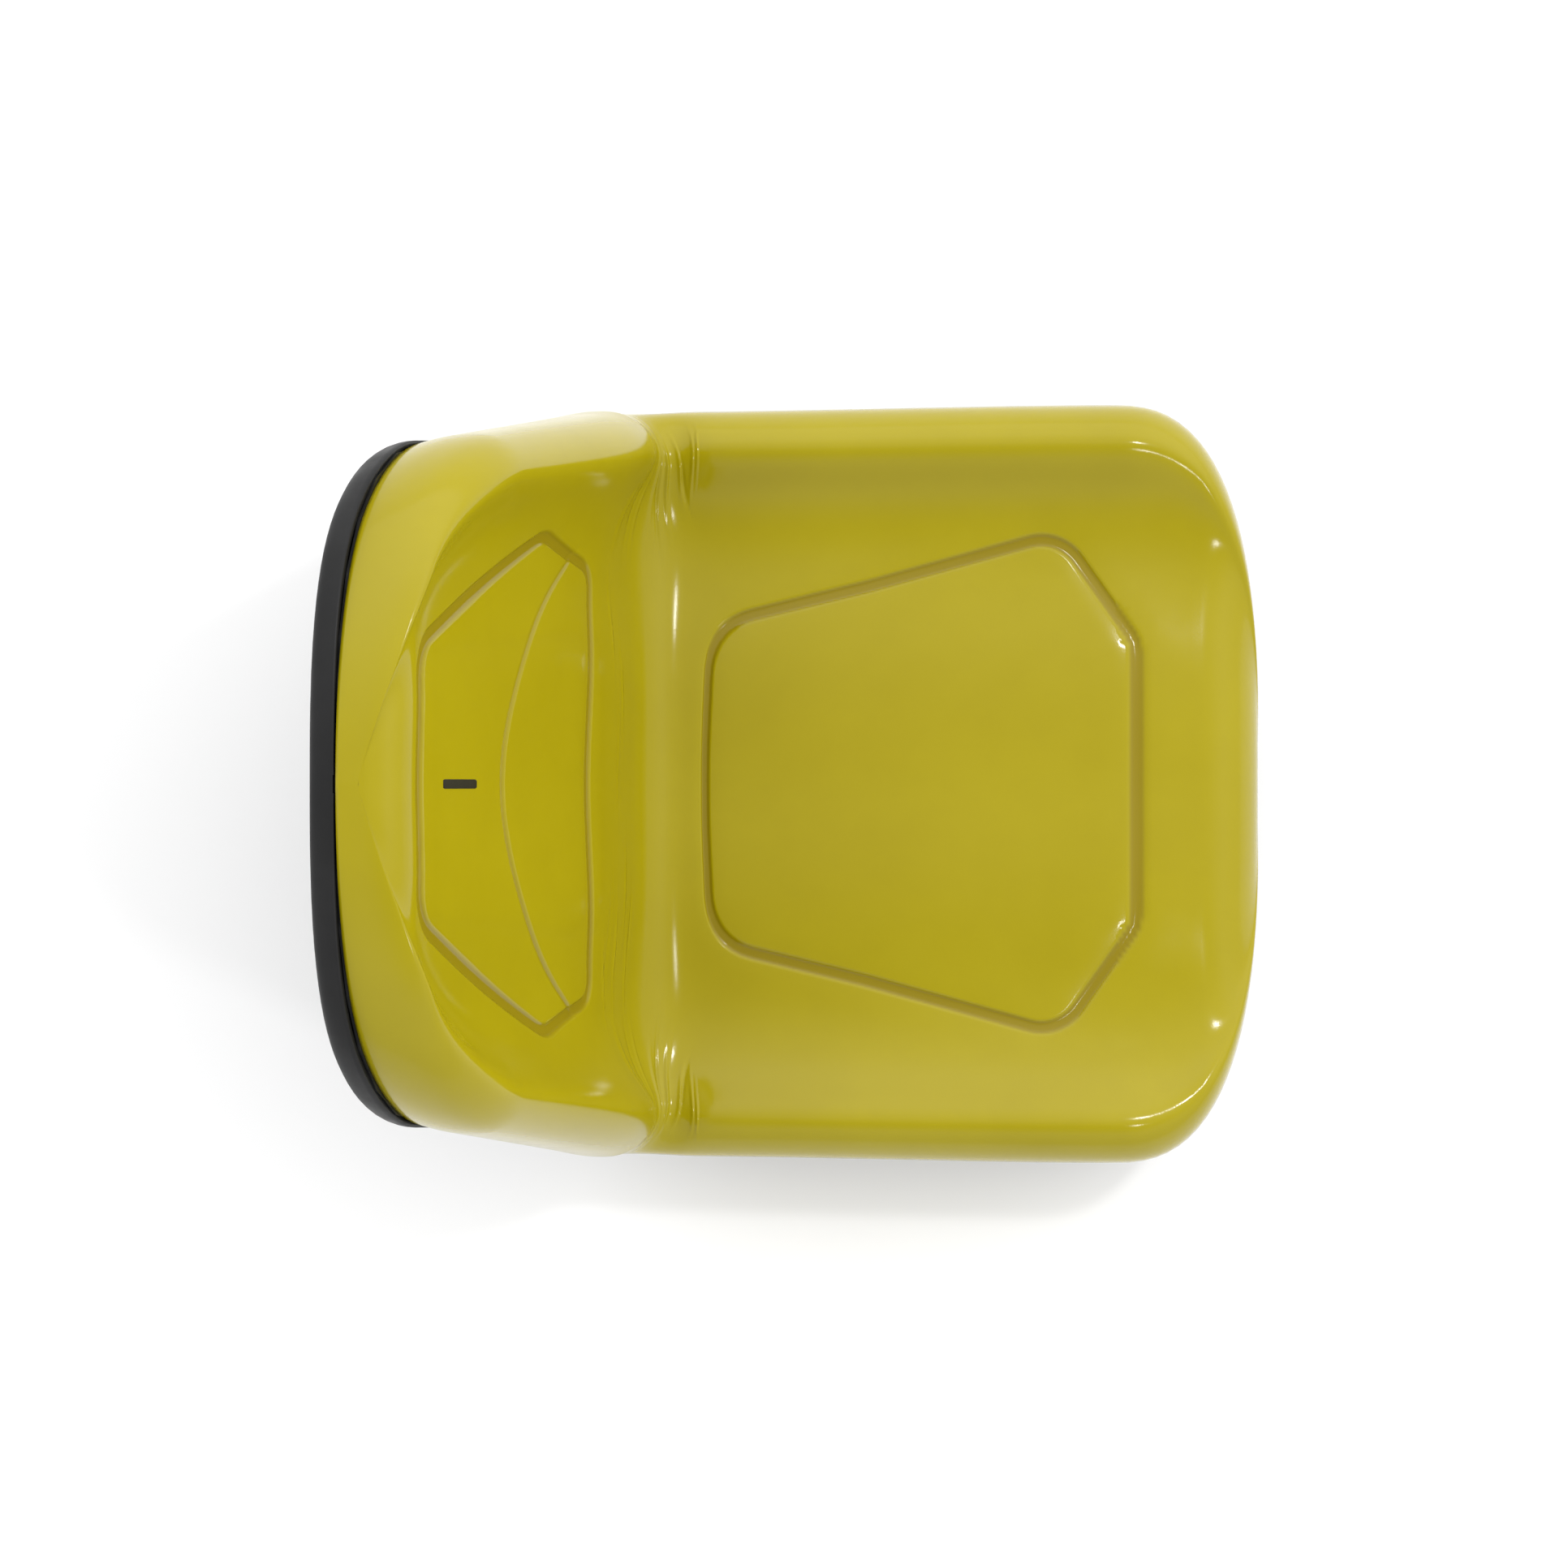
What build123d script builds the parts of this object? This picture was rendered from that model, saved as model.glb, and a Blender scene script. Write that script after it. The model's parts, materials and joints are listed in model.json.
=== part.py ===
"""Bucket seat for a lawn or compact tractor, on its fore-and-aft slide set.

Frame: +X to the front of the seat, +Y to the sitter's left, +Z up. The origin is the centre of the
four mounting bolts, on the plane that the lower rails stand on. Everything is in millimetres.

The upholstered bucket and the black shell behind it share one parting line. Seen from the side it
runs level under the cushion, round the bend and up the backrest. A place on the seat is given as
(s, y, n): s along that line from its front end, y across, n square to it, towards the sitter.
"""
from build123d import *
from math import atan2, ceil, cos, degrees, pi, radians, sin, sqrt, tan
import os

# ---------------------------------------------------------------- driving sizes
# the seat as a whole
FRONT_X = 259.0          # front end of the parting line
SEAT_HALF_WIDTH = 254.5  # cushion, at its widest
WAIST_HALF_WIDTH = 250.5  # where cushion and backrest meet
BACK_HALF_WIDTH = 246.0  # foot of the backrest
TOP_HALF_WIDTH = 187.0   # the backrest's width at its top, before the corners are rounded off
BACK_FOOT_X = -203.0     # where the level line and the backrest line would cross
BACK_LEAN = 14.5         # backrest from the vertical, in degrees
BACK_RISE = 428.0        # height of the backrest line above the level line
BEND_R = 110.0           # parting line, between cushion and backrest

# the upholstered bucket, measured from the parting line towards the sitter
SEAT_THICK = 74.0        # cushion panel
LUMBAR_THICK = 60.0      # foot of the backrest
BACK_THICK = 38.0        # top of the backrest panel
SEAT_BOLSTER = 24.0      # how far the rolled edge stands above the panel, beside the cushion
FRONT_ROLL = 7.0         # the same at the cushion's front and the backrest's top
BACK_BOLSTER = 26.0      # the same beside the backrest
NOSE_LENGTH = 46.0       # over which the front edge rolls down
CREST_LENGTH = 30.0      # over which the backrest's top edge rolls back
FRONT_CORNER = 100.0     # over which the outline closes at the front
TOP_CORNER = 130.0       # over which it closes at the top
COVER_T = 1.5            # vinyl
FLAP = 28.0              # cover turned in under the foam
SOFT_GAP = 0.3           # between the cover and what is inside it

# the shell and the steel pan inside it
SHELL_DEPTH = 18.0
SHELL_WALL = 3.5
SHELL_INSET = 6.0        # shell inside the upholstery's outline, along the sides
PARTING_GAP = 1.6        # from the parting line to the shell's rim
PAN_T = 1.6
PAN_SKIN = 0.3           # from the parting line to the pan
PAN_CLEAR = 1.0          # pan's edge to the shell's wall

# slide rails: u is across a rail, outboard positive
RAIL_Y = 143.0
RAIL_LENGTH = 300.0
STEEL = 2.5
LOWER_HALF = 26.5
LOWER_HEIGHT = 22.0
LIP_T = 3.0
LIP_EDGE = 12.5          # the lips leave a slot this far each side of the middle
UPPER_TOP = 29.5
UPPER_HALF = 23.0
WEB_OUT = 10.0
FLANGE_OUT = 22.5
FLANGE_Z = 6.0
SLIDE = 75.0             # each way
FOOT_U = -40.0
FOOT_WIDTH = 34.0
FOOT_BOLT_X = 131.0
FOOT_HOLE_R = 4.5

# rolling pieces
CLEAR = 0.3              # between surfaces that pass each other
BALL_U = 17.0
BALL_X = (-95.0, -32.0, 32.0, 95.0)
CAGE_HALF = 105.0
CAGE_T = 1.6
ROLLER_HALF = 4.9
PIN_R = 1.95

# fasteners through the rails
BOLT_R = 4.0
HEX_AF = 13.0
HEAD_T = 5.3
NUT_T = 6.5
SLEEVE_R = 7.0
BOSS_R = 13.0
BOSS_HEIGHT = 12.0       # shell's underside above the upper rails
SCREW_R = 2.45
SCREW_HEAD_R = 5.0

# latch
LATCH_X = -70.0          # pivot
LATCH_Z = 20.0
PIVOT_R = 4.0
ARM_T = 5.0
ARM_U = 34.5             # middle of the arm's thickness
ARM_LOW = 20.0
ARM_HIGH = 31.0
ARM_FRONT = 95.0
TOOTH_X = 60.0
TOOTH_PITCH = 12.5
TOOTH_LENGTH = 4.0       # that goes into the rack
TOOTH_WIDTH = 5.0
NOTCH = 7.4
RACK_TOP = 8.0
LUG_TOP = 12.0
TOOTH_CLEAR = 0.4        # over the rack, with the latch just lifted
BAR_R = 5.0
BAR_Z = 25.5
BAR_FRONT = 234.0
BAR_BEND = 28.0
GRIP_R = 7.5
GRIP_HALF = 62.0
COIL_R = 6.2
WIRE_R = 0.8

# operator-presence switch
SWITCH_X = 20.0
SWITCH_R = 15.0
SWITCH_LOW = 38.0        # underside of its barrel
PLUNGER_R = 11.0
PLUNGER_T = 8.0
PLUNGER_STANDS = 3.0     # over the parting line
PLUNGER_TRAVEL = 5.0
SPRING_R = 7.0
SPRING_WIRE = 0.6

# blank tag on the backrest
TAG_LENGTH = 44.0
TAG_WIDTH = 5.4
TAG_HEIGHT = 355.0       # of its middle above the parting line

RUNNING = 0.05           # radial clearance of a turning or sliding fit
TINY = 0.2               # between stacked pieces

# ---------------------------------------------------------------- worked out from them
PART_Z = UPPER_TOP + BOSS_HEIGHT + SHELL_DEPTH
LEAN = radians(BACK_LEAN)
BEND_ANGLE = pi / 2 - LEAN
BEND_RUN = BEND_R * tan(BEND_ANGLE / 2)       # from the corner to where the bend starts
LEVEL = FRONT_X - BACK_FOOT_X - BEND_RUN      # level length of the parting line
ARC = BEND_R * BEND_ANGLE
BACK = BACK_RISE / cos(LEAN) - BEND_RUN       # straight length up the backrest
TOTAL = LEVEL + ARC + BACK
BEND_X = FRONT_X - LEVEL
SHELL_Z = PART_Z - SHELL_DEPTH                # shell's underside
PAN_UNDER = PART_Z - PAN_SKIN - PAN_T
ROLLER_Z = UPPER_TOP / 2
ROLLER_R = ROLLER_Z - STEEL - CLEAR
BALL_LOW = FLANGE_Z + STEEL
BALL_HIGH = LOWER_HEIGHT - LIP_T
BALL_Z = (BALL_LOW + BALL_HIGH) / 2
BALL_R = (BALL_HIGH - BALL_LOW) / 2 - CLEAR
BOLT_X = 10.0 * int((-BEND_X - HEX_AF / 2) / 10)  # the last round figure on the level pan
ROLLER_X = BOLT_X - HEX_AF / 2 - SLIDE / 2 - ROLLER_R - 4
TEETH = round(SLIDE / TOOTH_PITCH)
PAN_TOP = PART_Z - PAN_SKIN


# ---------------------------------------------------------------- places on the seat
def smooth(s, start, end):
    """0 before start, 1 after end, with no kink between."""
    t = min(max((s - start) / (end - start), 0.0), 1.0)
    return t * t * (3 - 2 * t)


def along(s):
    """Point on the parting line at s, and the unit vector towards the sitter there."""
    if s < LEVEL:
        return Vector(FRONT_X - s, 0, PART_Z), Vector(0, 0, 1)
    if s < LEVEL + ARC:
        turn = (s - LEVEL) / BEND_R
        normal = Vector(sin(turn), 0, cos(turn))
        return Vector(BEND_X, 0, PART_Z + BEND_R) - normal * BEND_R, normal
    normal = Vector(cos(LEAN), 0, sin(LEAN))
    start = Vector(BEND_X, 0, PART_Z + BEND_R) - normal * BEND_R
    return start + Vector(-sin(LEAN), 0, cos(LEAN)) * (s - LEVEL - ARC), normal


def place(s, y=0.0, n=0.0):
    point, normal = along(s)
    return point + normal * n + Vector(0, y, 0)


def facing(s, y=0.0, n=0.0):
    """A plane at that place, with its Z towards the sitter."""
    return Plane(origin=place(s, y, n), x_dir=(0, 1, 0), z_dir=along(s)[1])


def across(s):
    """The plane that cuts the seat square at s, with X across the seat and Y towards the sitter."""
    point, normal = along(s)
    return Plane(origin=point, x_dir=(0, 1, 0), z_dir=Vector(0, 1, 0).cross(normal))


def closing(distance, length):
    """Share of the full width left at a distance from an end whose outline closes over length."""
    share = min(max(1 - distance / length, 0.0), 1.0)
    return (1 - share ** 2.4) ** (1 / 3)


def rolling(distance, length):
    """Share of the full thickness left at a distance from an end that rolls over."""
    share = min(max(1 - distance / length, 0.0), 1.0)
    return sqrt(1 - share ** 2)


def half_width(s, inset=0.0):
    wide = SEAT_HALF_WIDTH
    wide += (WAIST_HALF_WIDTH - SEAT_HALF_WIDTH) * smooth(s, FRONT_CORNER, LEVEL)
    wide += (BACK_HALF_WIDTH - WAIST_HALF_WIDTH) * smooth(s, LEVEL, LEVEL + ARC)
    taper_start = LEVEL + ARC
    rise = min(max((s - taper_start) / BACK, 0.0), 1.0)
    wide += (TOP_HALF_WIDTH - BACK_HALF_WIDTH) * rise
    front = closing(s - inset, FRONT_CORNER)
    top = closing(TOTAL - s - inset, TOP_CORNER)
    return (wide - inset) * front * top


def panel_height(s):
    """Middle of the bucket's surface above the parting line."""
    high = SEAT_THICK + (LUMBAR_THICK - SEAT_THICK) * smooth(s, LEVEL * 0.75, LEVEL + ARC)
    return high + (BACK_THICK - LUMBAR_THICK) * smooth(s, LEVEL + ARC, TOTAL - CREST_LENGTH)


def bolster_height(s):
    """Rolled edge above the middle."""
    front = smooth(s, 0, FRONT_CORNER)
    top = smooth(TOTAL - s, 0, TOP_CORNER)
    side = SEAT_BOLSTER + (BACK_BOLSTER - SEAT_BOLSTER) * smooth(s, LEVEL, LEVEL + ARC)
    return FRONT_ROLL + (side - FRONT_ROLL) * min(front, top)


# ---------------------------------------------------------------- lofted bodies
def stations(inset=0.0):
    """Places along the parting line for the sections, close together where the shape changes fast."""
    start = inset + 1.5
    end = TOTAL - inset - 1.5
    front = [start + FRONT_CORNER * (i / 6) ** 2 for i in range(7)]
    seat = [front[-1] + (LEVEL - front[-1]) * i / 4 for i in range(1, 5)]
    bend = [LEVEL + ARC * i / 6 for i in range(1, 7)]
    top = [end - TOP_CORNER * (i / 6) ** 2 for i in range(6, -1, -1)]
    back = [bend[-1] + (top[0] - bend[-1]) * i / 4 for i in range(1, 4)]
    return front + seat + bend + back + top


def closed_section(s, half_points, foot):
    """A face across the seat from the right half of its outline, mirrored, and a straight foot."""
    left = [(-y, n) for y, n in reversed(half_points) if y > 0]
    outline = Spline(*[Vector(y, n) for y, n in left + half_points][::-1])
    low = Line(outline @ 1, outline @ 0)
    return across(s) * Face(Wire([outline, low]))


def bucket_section(s, inset):
    wide = half_width(s, inset)
    panel = panel_height(s) - inset
    crest = panel + bolster_height(s)
    roll = rolling(s - inset, NOSE_LENGTH) * rolling(TOTAL - s - inset, CREST_LENGTH)
    middle = 0.35 * panel

    def rolled(n):
        return middle + (n - middle) * roll

    foot = -10.0
    points = [(0, rolled(panel)), (wide * 0.38, rolled(panel)), (wide * 0.68, rolled(panel + 1)),
              (wide * 0.79, rolled(panel + 0.5 * (crest - panel))), (wide * 0.885, rolled(crest)),
              (wide * 0.97, rolled(crest * 0.83)), (wide, rolled(crest * 0.5)),
              (wide * 0.99, rolled(crest * 0.5) * 0.35), (wide * 0.97, foot)]
    return closed_section(s, points, foot)


def bucket(inset):
    """The upholstered bucket's outer shape, moved in by inset and running on past the parting line."""
    return loft([bucket_section(s, inset) for s in stations(inset)], ruled=True)


def shell_inset(s):
    """The shell's outline comes out to the upholstery's at the top of the backrest."""
    return SHELL_INSET * (1 - smooth(s, TOTAL - 1.6 * TOP_CORNER, TOTAL - 0.5 * TOP_CORNER))


def shell_section(s, inset):
    wide = half_width(s, inset) - shell_inset(s)
    edge = rolling(s - inset, SHELL_DEPTH) * rolling(TOTAL - s - inset, SHELL_DEPTH)
    floor = -(SHELL_DEPTH - inset) * (0.45 + 0.55 * edge)
    rim = 10.0 + inset
    points = [(0, floor), (wide * 0.5, floor), (wide - 0.09 * wide, floor),
              (wide - 0.025 * wide, floor * 0.7), (wide - 0.003 * wide, floor * 0.25), (wide, rim)]
    return closed_section(s, points, rim)


def shell_body(inset):
    """The shell's outer shape, moved in by inset, as a solid that runs on past the rim."""
    return loft([shell_section(s, inset) for s in stations(inset)], ruled=True)


def ribbon(low, high, half=400.0, run_on=60.0):
    """The layer between two heights over the parting line, across the whole seat."""
    level = Line(Vector(FRONT_X + run_on, 0, PART_Z), place(LEVEL))
    bend = ThreePointArc(place(LEVEL), place(LEVEL + ARC / 2), place(LEVEL + ARC))
    top = place(TOTAL) + Vector(-sin(LEAN), 0, cos(LEAN)) * run_on
    back = Line(place(LEVEL + ARC), top)
    start = Plane(origin=level @ 0, x_dir=(0, 1, 0), z_dir=(-1, 0, 0))
    strip = start * Pos(0, -(low + high) / 2) * Rectangle(2 * half, high - low)
    return sweep(strip, path=Wire([level, bend, back]))


# ---------------------------------------------------------------- the seat
def stud(s, y, low, high, radius):
    """A round post square to the seat at (s, y), between two heights over the parting line."""
    return facing(s, y, (low + high) / 2) * Cylinder(radius, high - low)


def at_x(x):
    """Place along the parting line that lies level at x."""
    return FRONT_X - x


def right_of(piece):
    return mirror(piece, about=Plane.XZ)


RAIL_BOLTS = [(at_x(x), y) for x in (-BOLT_X, BOLT_X) for y in (-RAIL_Y, RAIL_Y)]
SCREWS = [(at_x(x), y) for x in (-90, 140) for y in (-205, 205)]
SCREWS += [(LEVEL + ARC + up, y) for up in (BACK / 5, BACK * 0.66) for y in (-130, 130)]


def make_cover():
    over = bucket(0) - ribbon(-60, 0)
    inside = bucket(COVER_T) - ribbon(-60, COVER_T)
    mouth = bucket(FLAP) & ribbon(-1, COVER_T + 1)
    return over - inside - mouth - tag_block(TAG_LENGTH + 2 * TINY, TAG_WIDTH + 2 * TINY)


def make_foam():
    """Cushion and backrest, parted half way round the bend."""
    gap = COVER_T + SOFT_GAP
    foam = bucket(gap) - ribbon(-60, gap)
    for s, y in RAIL_BOLTS:
        foam -= stud(s, y, 0, NUT_T + 3, HEX_AF * 0.75)
    foam -= stud(at_x(SWITCH_X), 0, 0, PLUNGER_STANDS + 1, PLUNGER_R + 2)
    cut = across(LEVEL + ARC / 2)
    cushion_side = cut * Pos(0, 0, 500 + SOFT_GAP) * Box(1000, 1000, 1000)
    backrest_side = cut * Pos(0, 0, -500 - SOFT_GAP) * Box(1000, 1000, 1000)
    return foam & cushion_side, foam & backrest_side


def make_pan():
    pan = shell_body(SHELL_WALL + PAN_CLEAR) & ribbon(-PAN_SKIN - PAN_T, -PAN_SKIN)
    for s, y in RAIL_BOLTS:
        pan -= stud(s, y, -10, 5, BOLT_R + RUNNING)
    for s, y in SCREWS:
        pan -= stud(s, y, -10, 5, SCREW_R + RUNNING)
    return pan - stud(at_x(SWITCH_X), 0, -10, 5, PLUNGER_R + 1)


def make_shell():
    shell = shell_body(0) - shell_body(SHELL_WALL) - ribbon(-PARTING_GAP, 80)
    under = -PAN_SKIN - PAN_T
    for s, y in RAIL_BOLTS:
        shell += stud(s, y, -SHELL_DEPTH - BOSS_HEIGHT, under, BOSS_R)
        shell -= stud(s, y, -SHELL_DEPTH - BOSS_HEIGHT - 1, under + 1, SLEEVE_R + RUNNING)
    for s, y in SCREWS:
        shell += stud(s, y, -SHELL_DEPTH + 1, under, SCREW_HEAD_R + 2)
        shell -= stud(s, y, -SHELL_DEPTH - 1, under + 1, SCREW_R + RUNNING)
        shell -= stud(s, y, -SHELL_DEPTH - 6, -SHELL_DEPTH + 1, SCREW_HEAD_R + CLEAR)
    return shell - stud(at_x(SWITCH_X), 0, -SHELL_DEPTH - 5, 0, SWITCH_R + 2)


def tag_block(length, width, high=0.4):
    """The blank tag's outline on the backrest, its long side up the back."""
    s = LEVEL + BEND_R * BEND_ANGLE + TAG_HEIGHT - BEND_RUN
    slope = (panel_height(s + 5) - panel_height(s - 5)) / 10
    turned = Rot(degrees(atan2(slope, 1)), 0, 0)
    return facing(s, 0, panel_height(s)) * turned * Pos(0, 0, high / 2 - 0.5) * Box(width, length, high + 1)


def make_screws():
    """Pan-head screws sunk a little into the shell's back, up into the pan."""
    low = 1 - SHELL_DEPTH
    made = []
    for s, y in SCREWS:
        shank = stud(s, y, low - 1, 1, SCREW_R)
        head = stud(s, y, low - 3, low, SCREW_HEAD_R)
        made.append(shank + head - stud(s, y, low - 4, low - 1.4, 1.8))
    return Compound(children=made)


# ---------------------------------------------------------------- the slide set
def block(x, u, z):
    """A box on the left rail from its (low, high) limits along, across and up."""
    size = [high - low for low, high in (x, u, z)]
    middle = [(low + high) / 2 for low, high in (x, u, z)]
    return Pos(middle[0], RAIL_Y + middle[1], middle[2]) * Box(*size)


def rod(x, u, z, radius):
    """A round bar across the left rail, between two places u."""
    return Pos(x, RAIL_Y + (u[0] + u[1]) / 2, z) * Rot(90, 0, 0) * Cylinder(radius, u[1] - u[0])


def post(x, u, z, radius):
    """An upright round bar on the left rail."""
    return Pos(x, RAIL_Y + u, (z[0] + z[1]) / 2) * Cylinder(radius, z[1] - z[0])


def two_sided(x, u, z):
    """A box and its mirror image across the rail's middle."""
    return block(x, u, z) + block(x, (-u[1], -u[0]), z)


def rounded_along(rail, places, radius):
    """Round the long edges that pass the given (u, z) places."""
    picked = [e for e in rail.edges().filter_by(Axis.X) for u, z in places
              if abs(e.center().Y - RAIL_Y - u) < 0.01 and abs(e.center().Z - z) < 0.01]
    return fillet(picked, radius)


ALONG = (-RAIL_LENGTH / 2, RAIL_LENGTH / 2)


def make_lower_rail():
    rail = block(ALONG, (-LOWER_HALF, LOWER_HALF), (0, STEEL))
    rail += two_sided(ALONG, (LOWER_HALF - STEEL, LOWER_HALF), (0, LOWER_HEIGHT))
    rail += two_sided(ALONG, (LIP_EDGE, LOWER_HALF), (BALL_HIGH, LOWER_HEIGHT))
    tops = [(side * LOWER_HALF, LOWER_HEIGHT) for side in (-1, 1)]
    rail = rounded_along(rail, tops, 2.0)
    reach = FOOT_U - FOOT_WIDTH / 2
    for x in (-FOOT_BOLT_X, FOOT_BOLT_X):
        foot = block((x - FOOT_WIDTH / 2, x + FOOT_WIDTH / 2), (reach, -LOWER_HALF + 1), (0, STEEL))
        corners = foot.edges().filter_by(Axis.Z).group_by(Axis.Y)[0]
        rail += fillet(corners, 10) - post(x, FOOT_U, (-1, STEEL + 1), FOOT_HOLE_R)
    return rail


def make_upper_rail():
    rail = block(ALONG, (-UPPER_HALF, UPPER_HALF), (UPPER_TOP - STEEL, UPPER_TOP))
    rail += two_sided(ALONG, (WEB_OUT - STEEL, WEB_OUT), (FLANGE_Z, UPPER_TOP))
    rail += two_sided(ALONG, (WEB_OUT - STEEL, FLANGE_OUT), (FLANGE_Z, BALL_LOW))
    rail = rounded_along(rail, [(side * UPPER_HALF, UPPER_TOP) for side in (-1, 1)], 1.2)
    for x in (-BOLT_X, BOLT_X):
        rail -= post(x, 0, (UPPER_TOP - STEEL - 1, UPPER_TOP + 1), BOLT_R + 0.5)
    near = (LATCH_X - 12, LATCH_X + 12)
    ear = ARM_U - ARM_T / 2 - 0.5, ARM_U + ARM_T / 2 + 0.5
    rail += block(near, (UPPER_HALF - 3, ear[1] + STEEL), (UPPER_TOP - STEEL, UPPER_TOP))
    for low in (ear[0] - STEEL, ear[1]):
        rail += block(near, (low, low + STEEL), (LATCH_Z - 6, UPPER_TOP))
    return rail - rod(LATCH_X, (ear[0] - 4, ear[1] + 4), LATCH_Z, PIVOT_R)


def make_rack():
    """Strip with the latch's slots and a lug at each end that stops the slide."""
    half = SLIDE + TOOTH_WIDTH / 2
    ends = (TOOTH_X - half - 6, TOOTH_X + half + 4.5)
    rack = block(ends, (LOWER_HALF, LOWER_HALF + 13.5), (RACK_TOP - STEEL, RACK_TOP))
    rack += block(ends, (LOWER_HALF, LOWER_HALF + STEEL), (RACK_TOP - STEEL, LUG_TOP + 4))
    slot = (ARM_U - ARM_T / 2 - 1, ARM_U + ARM_T / 2 + 1)
    for i in range(-TEETH, TEETH + 1):
        x = TOOTH_X + i * TOOTH_PITCH
        rack -= block((x - NOTCH / 2, x + NOTCH / 2), slot, (0, RACK_TOP + 1))
    for low in (TOOTH_X - half - 4, TOOTH_X + half + 1):
        rack += block((low, low + 3), (LOWER_HALF, ARM_U), (RACK_TOP - 1, LUG_TOP))
    return rack


def make_cage():
    """Strips that hold the balls beside the left rail's webs."""
    strips = []
    for u in (-BALL_U, BALL_U):
        strip = block((-CAGE_HALF, CAGE_HALF), (u - 5.6, u + 5.6), (BALL_Z - CAGE_T / 2, BALL_Z + CAGE_T / 2))
        strip = fillet(strip.edges().filter_by(Axis.Z), 3)
        for x in BALL_X:
            strip -= post(x, u, (0, BALL_HIGH), BALL_R + RUNNING)
        strips.append(strip)
    return strips


def make_balls():
    return [Pos(x, RAIL_Y + u, BALL_Z) * Sphere(BALL_R) for u in (-BALL_U, BALL_U) for x in BALL_X]


def make_carrier():
    """Side straps that space the left rail's two rollers, and the rollers' pins."""
    inner = ROLLER_HALF + CLEAR
    ends = (-ROLLER_X - 8, ROLLER_X + 8)
    straps = []
    pins = []
    for side in (-1, 1):
        u = sorted((side * inner, side * (inner + CAGE_T)))
        strap = block(ends, u, (ROLLER_Z - 4, ROLLER_Z + 4))
        strap = fillet(strap.edges().filter_by(Axis.Y), 3)
        for x in (-ROLLER_X, ROLLER_X):
            strap -= rod(x, (-20, 20), ROLLER_Z, PIN_R)
        straps.append(strap)
    for x in (-ROLLER_X, ROLLER_X):
        pins.append(rod(x, (-inner - CAGE_T, inner + CAGE_T), ROLLER_Z, PIN_R))
    return straps, pins


def make_roller(x):
    roller = rod(x, (-ROLLER_HALF, ROLLER_HALF), ROLLER_Z, ROLLER_R)
    roller = chamfer(roller.edges().filter_by(GeomType.CIRCLE), 0.6)
    return roller - rod(x, (-9, 9), ROLLER_Z, PIN_R + RUNNING)


def hexagon(x, y, low, high):
    return Pos(x, y, low) * extrude(Rot(0, 0, 30) * RegularPolygon(HEX_AF / 2, 6, major_radius=False), high - low)


def make_bolts():
    under = UPPER_TOP - STEEL
    made = []
    for x in (-BOLT_X, BOLT_X):
        for y in (-RAIL_Y, RAIL_Y):
            shank = Pos(x, y, (under + PAN_TOP + NUT_T + 2) / 2) * Cylinder(BOLT_R, PAN_TOP + NUT_T + 2 - under)
            made.append(shank + hexagon(x, y, under - HEAD_T, under))
    return Compound(children=made)


def make_nuts():
    made = []
    for x in (-BOLT_X, BOLT_X):
        for y in (-RAIL_Y, RAIL_Y):
            hole = Pos(x, y, PAN_TOP + NUT_T / 2) * Cylinder(BOLT_R, NUT_T + 2)
            made.append(hexagon(x, y, PAN_TOP, PAN_TOP + NUT_T) - hole)
    return Compound(children=made)


def make_sleeves():
    made = []
    for x in (-BOLT_X, BOLT_X):
        for y in (-RAIL_Y, RAIL_Y):
            tall = PAN_UNDER - UPPER_TOP
            middle = Pos(x, y, UPPER_TOP + tall / 2)
            made.append(middle * Cylinder(SLEEVE_R, tall) - middle * Cylinder(BOLT_R + RUNNING, tall + 2))
    return Compound(children=made)


# ---------------------------------------------------------------- latch
def make_arm():
    side = Plane(origin=(0, RAIL_Y + ARM_U + ARM_T / 2, 0), x_dir=(1, 0, 0), z_dir=(0, -1, 0))
    tip = RACK_TOP + TOOTH_CLEAR
    half = TOOTH_WIDTH / 2
    points = [(LATCH_X - 7, LATCH_Z - 6), (LATCH_X + 8, LATCH_Z - 6), (LATCH_X + 20, ARM_LOW),
              (TOOTH_X - 9, ARM_LOW), (TOOTH_X - half, ARM_LOW - 4), (TOOTH_X - half, tip),
              (TOOTH_X + half, tip), (TOOTH_X + half, ARM_LOW - 4), (TOOTH_X + 9, ARM_LOW),
              (ARM_FRONT, ARM_LOW), (ARM_FRONT, ARM_HIGH), (LATCH_X + 20, ARM_HIGH),
              (LATCH_X + 14, LATCH_Z + 6), (LATCH_X - 7, LATCH_Z + 6)]
    arm = extrude(side * make_face(Polyline(*points, close=True)), ARM_T)
    ends = [e for e in arm.edges().filter_by(Axis.Y) if abs(e.center().X - LATCH_X + 7) < 0.1]
    arm = fillet(ends, 4)
    return arm - rod(LATCH_X, (ARM_U - 5, ARM_U + 5), LATCH_Z, PIVOT_R + RUNNING)


def make_bar():
    """Round bar from the outside of one arm, across the front, to the other."""
    y = RAIL_Y + ARM_U + ARM_T / 2 + BAR_R
    start = ARM_FRONT - 55
    turn = BAR_FRONT - BAR_BEND
    left = Line((start, y, BAR_Z), (turn, y, BAR_Z))
    first = TangentArc((turn, y, BAR_Z), (BAR_FRONT, y - BAR_BEND, BAR_Z), tangent=(1, 0, 0))
    front = Line((BAR_FRONT, y - BAR_BEND, BAR_Z), (BAR_FRONT, BAR_BEND - y, BAR_Z))
    second = TangentArc((BAR_FRONT, BAR_BEND - y, BAR_Z), (turn, -y, BAR_Z), tangent=(0, -1, 0))
    right = Line((turn, -y, BAR_Z), (start, -y, BAR_Z))
    path = Wire([left, first, front, second, right])
    return sweep(Plane(origin=(start, y, BAR_Z), z_dir=(1, 0, 0)) * Circle(BAR_R), path=path)


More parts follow.
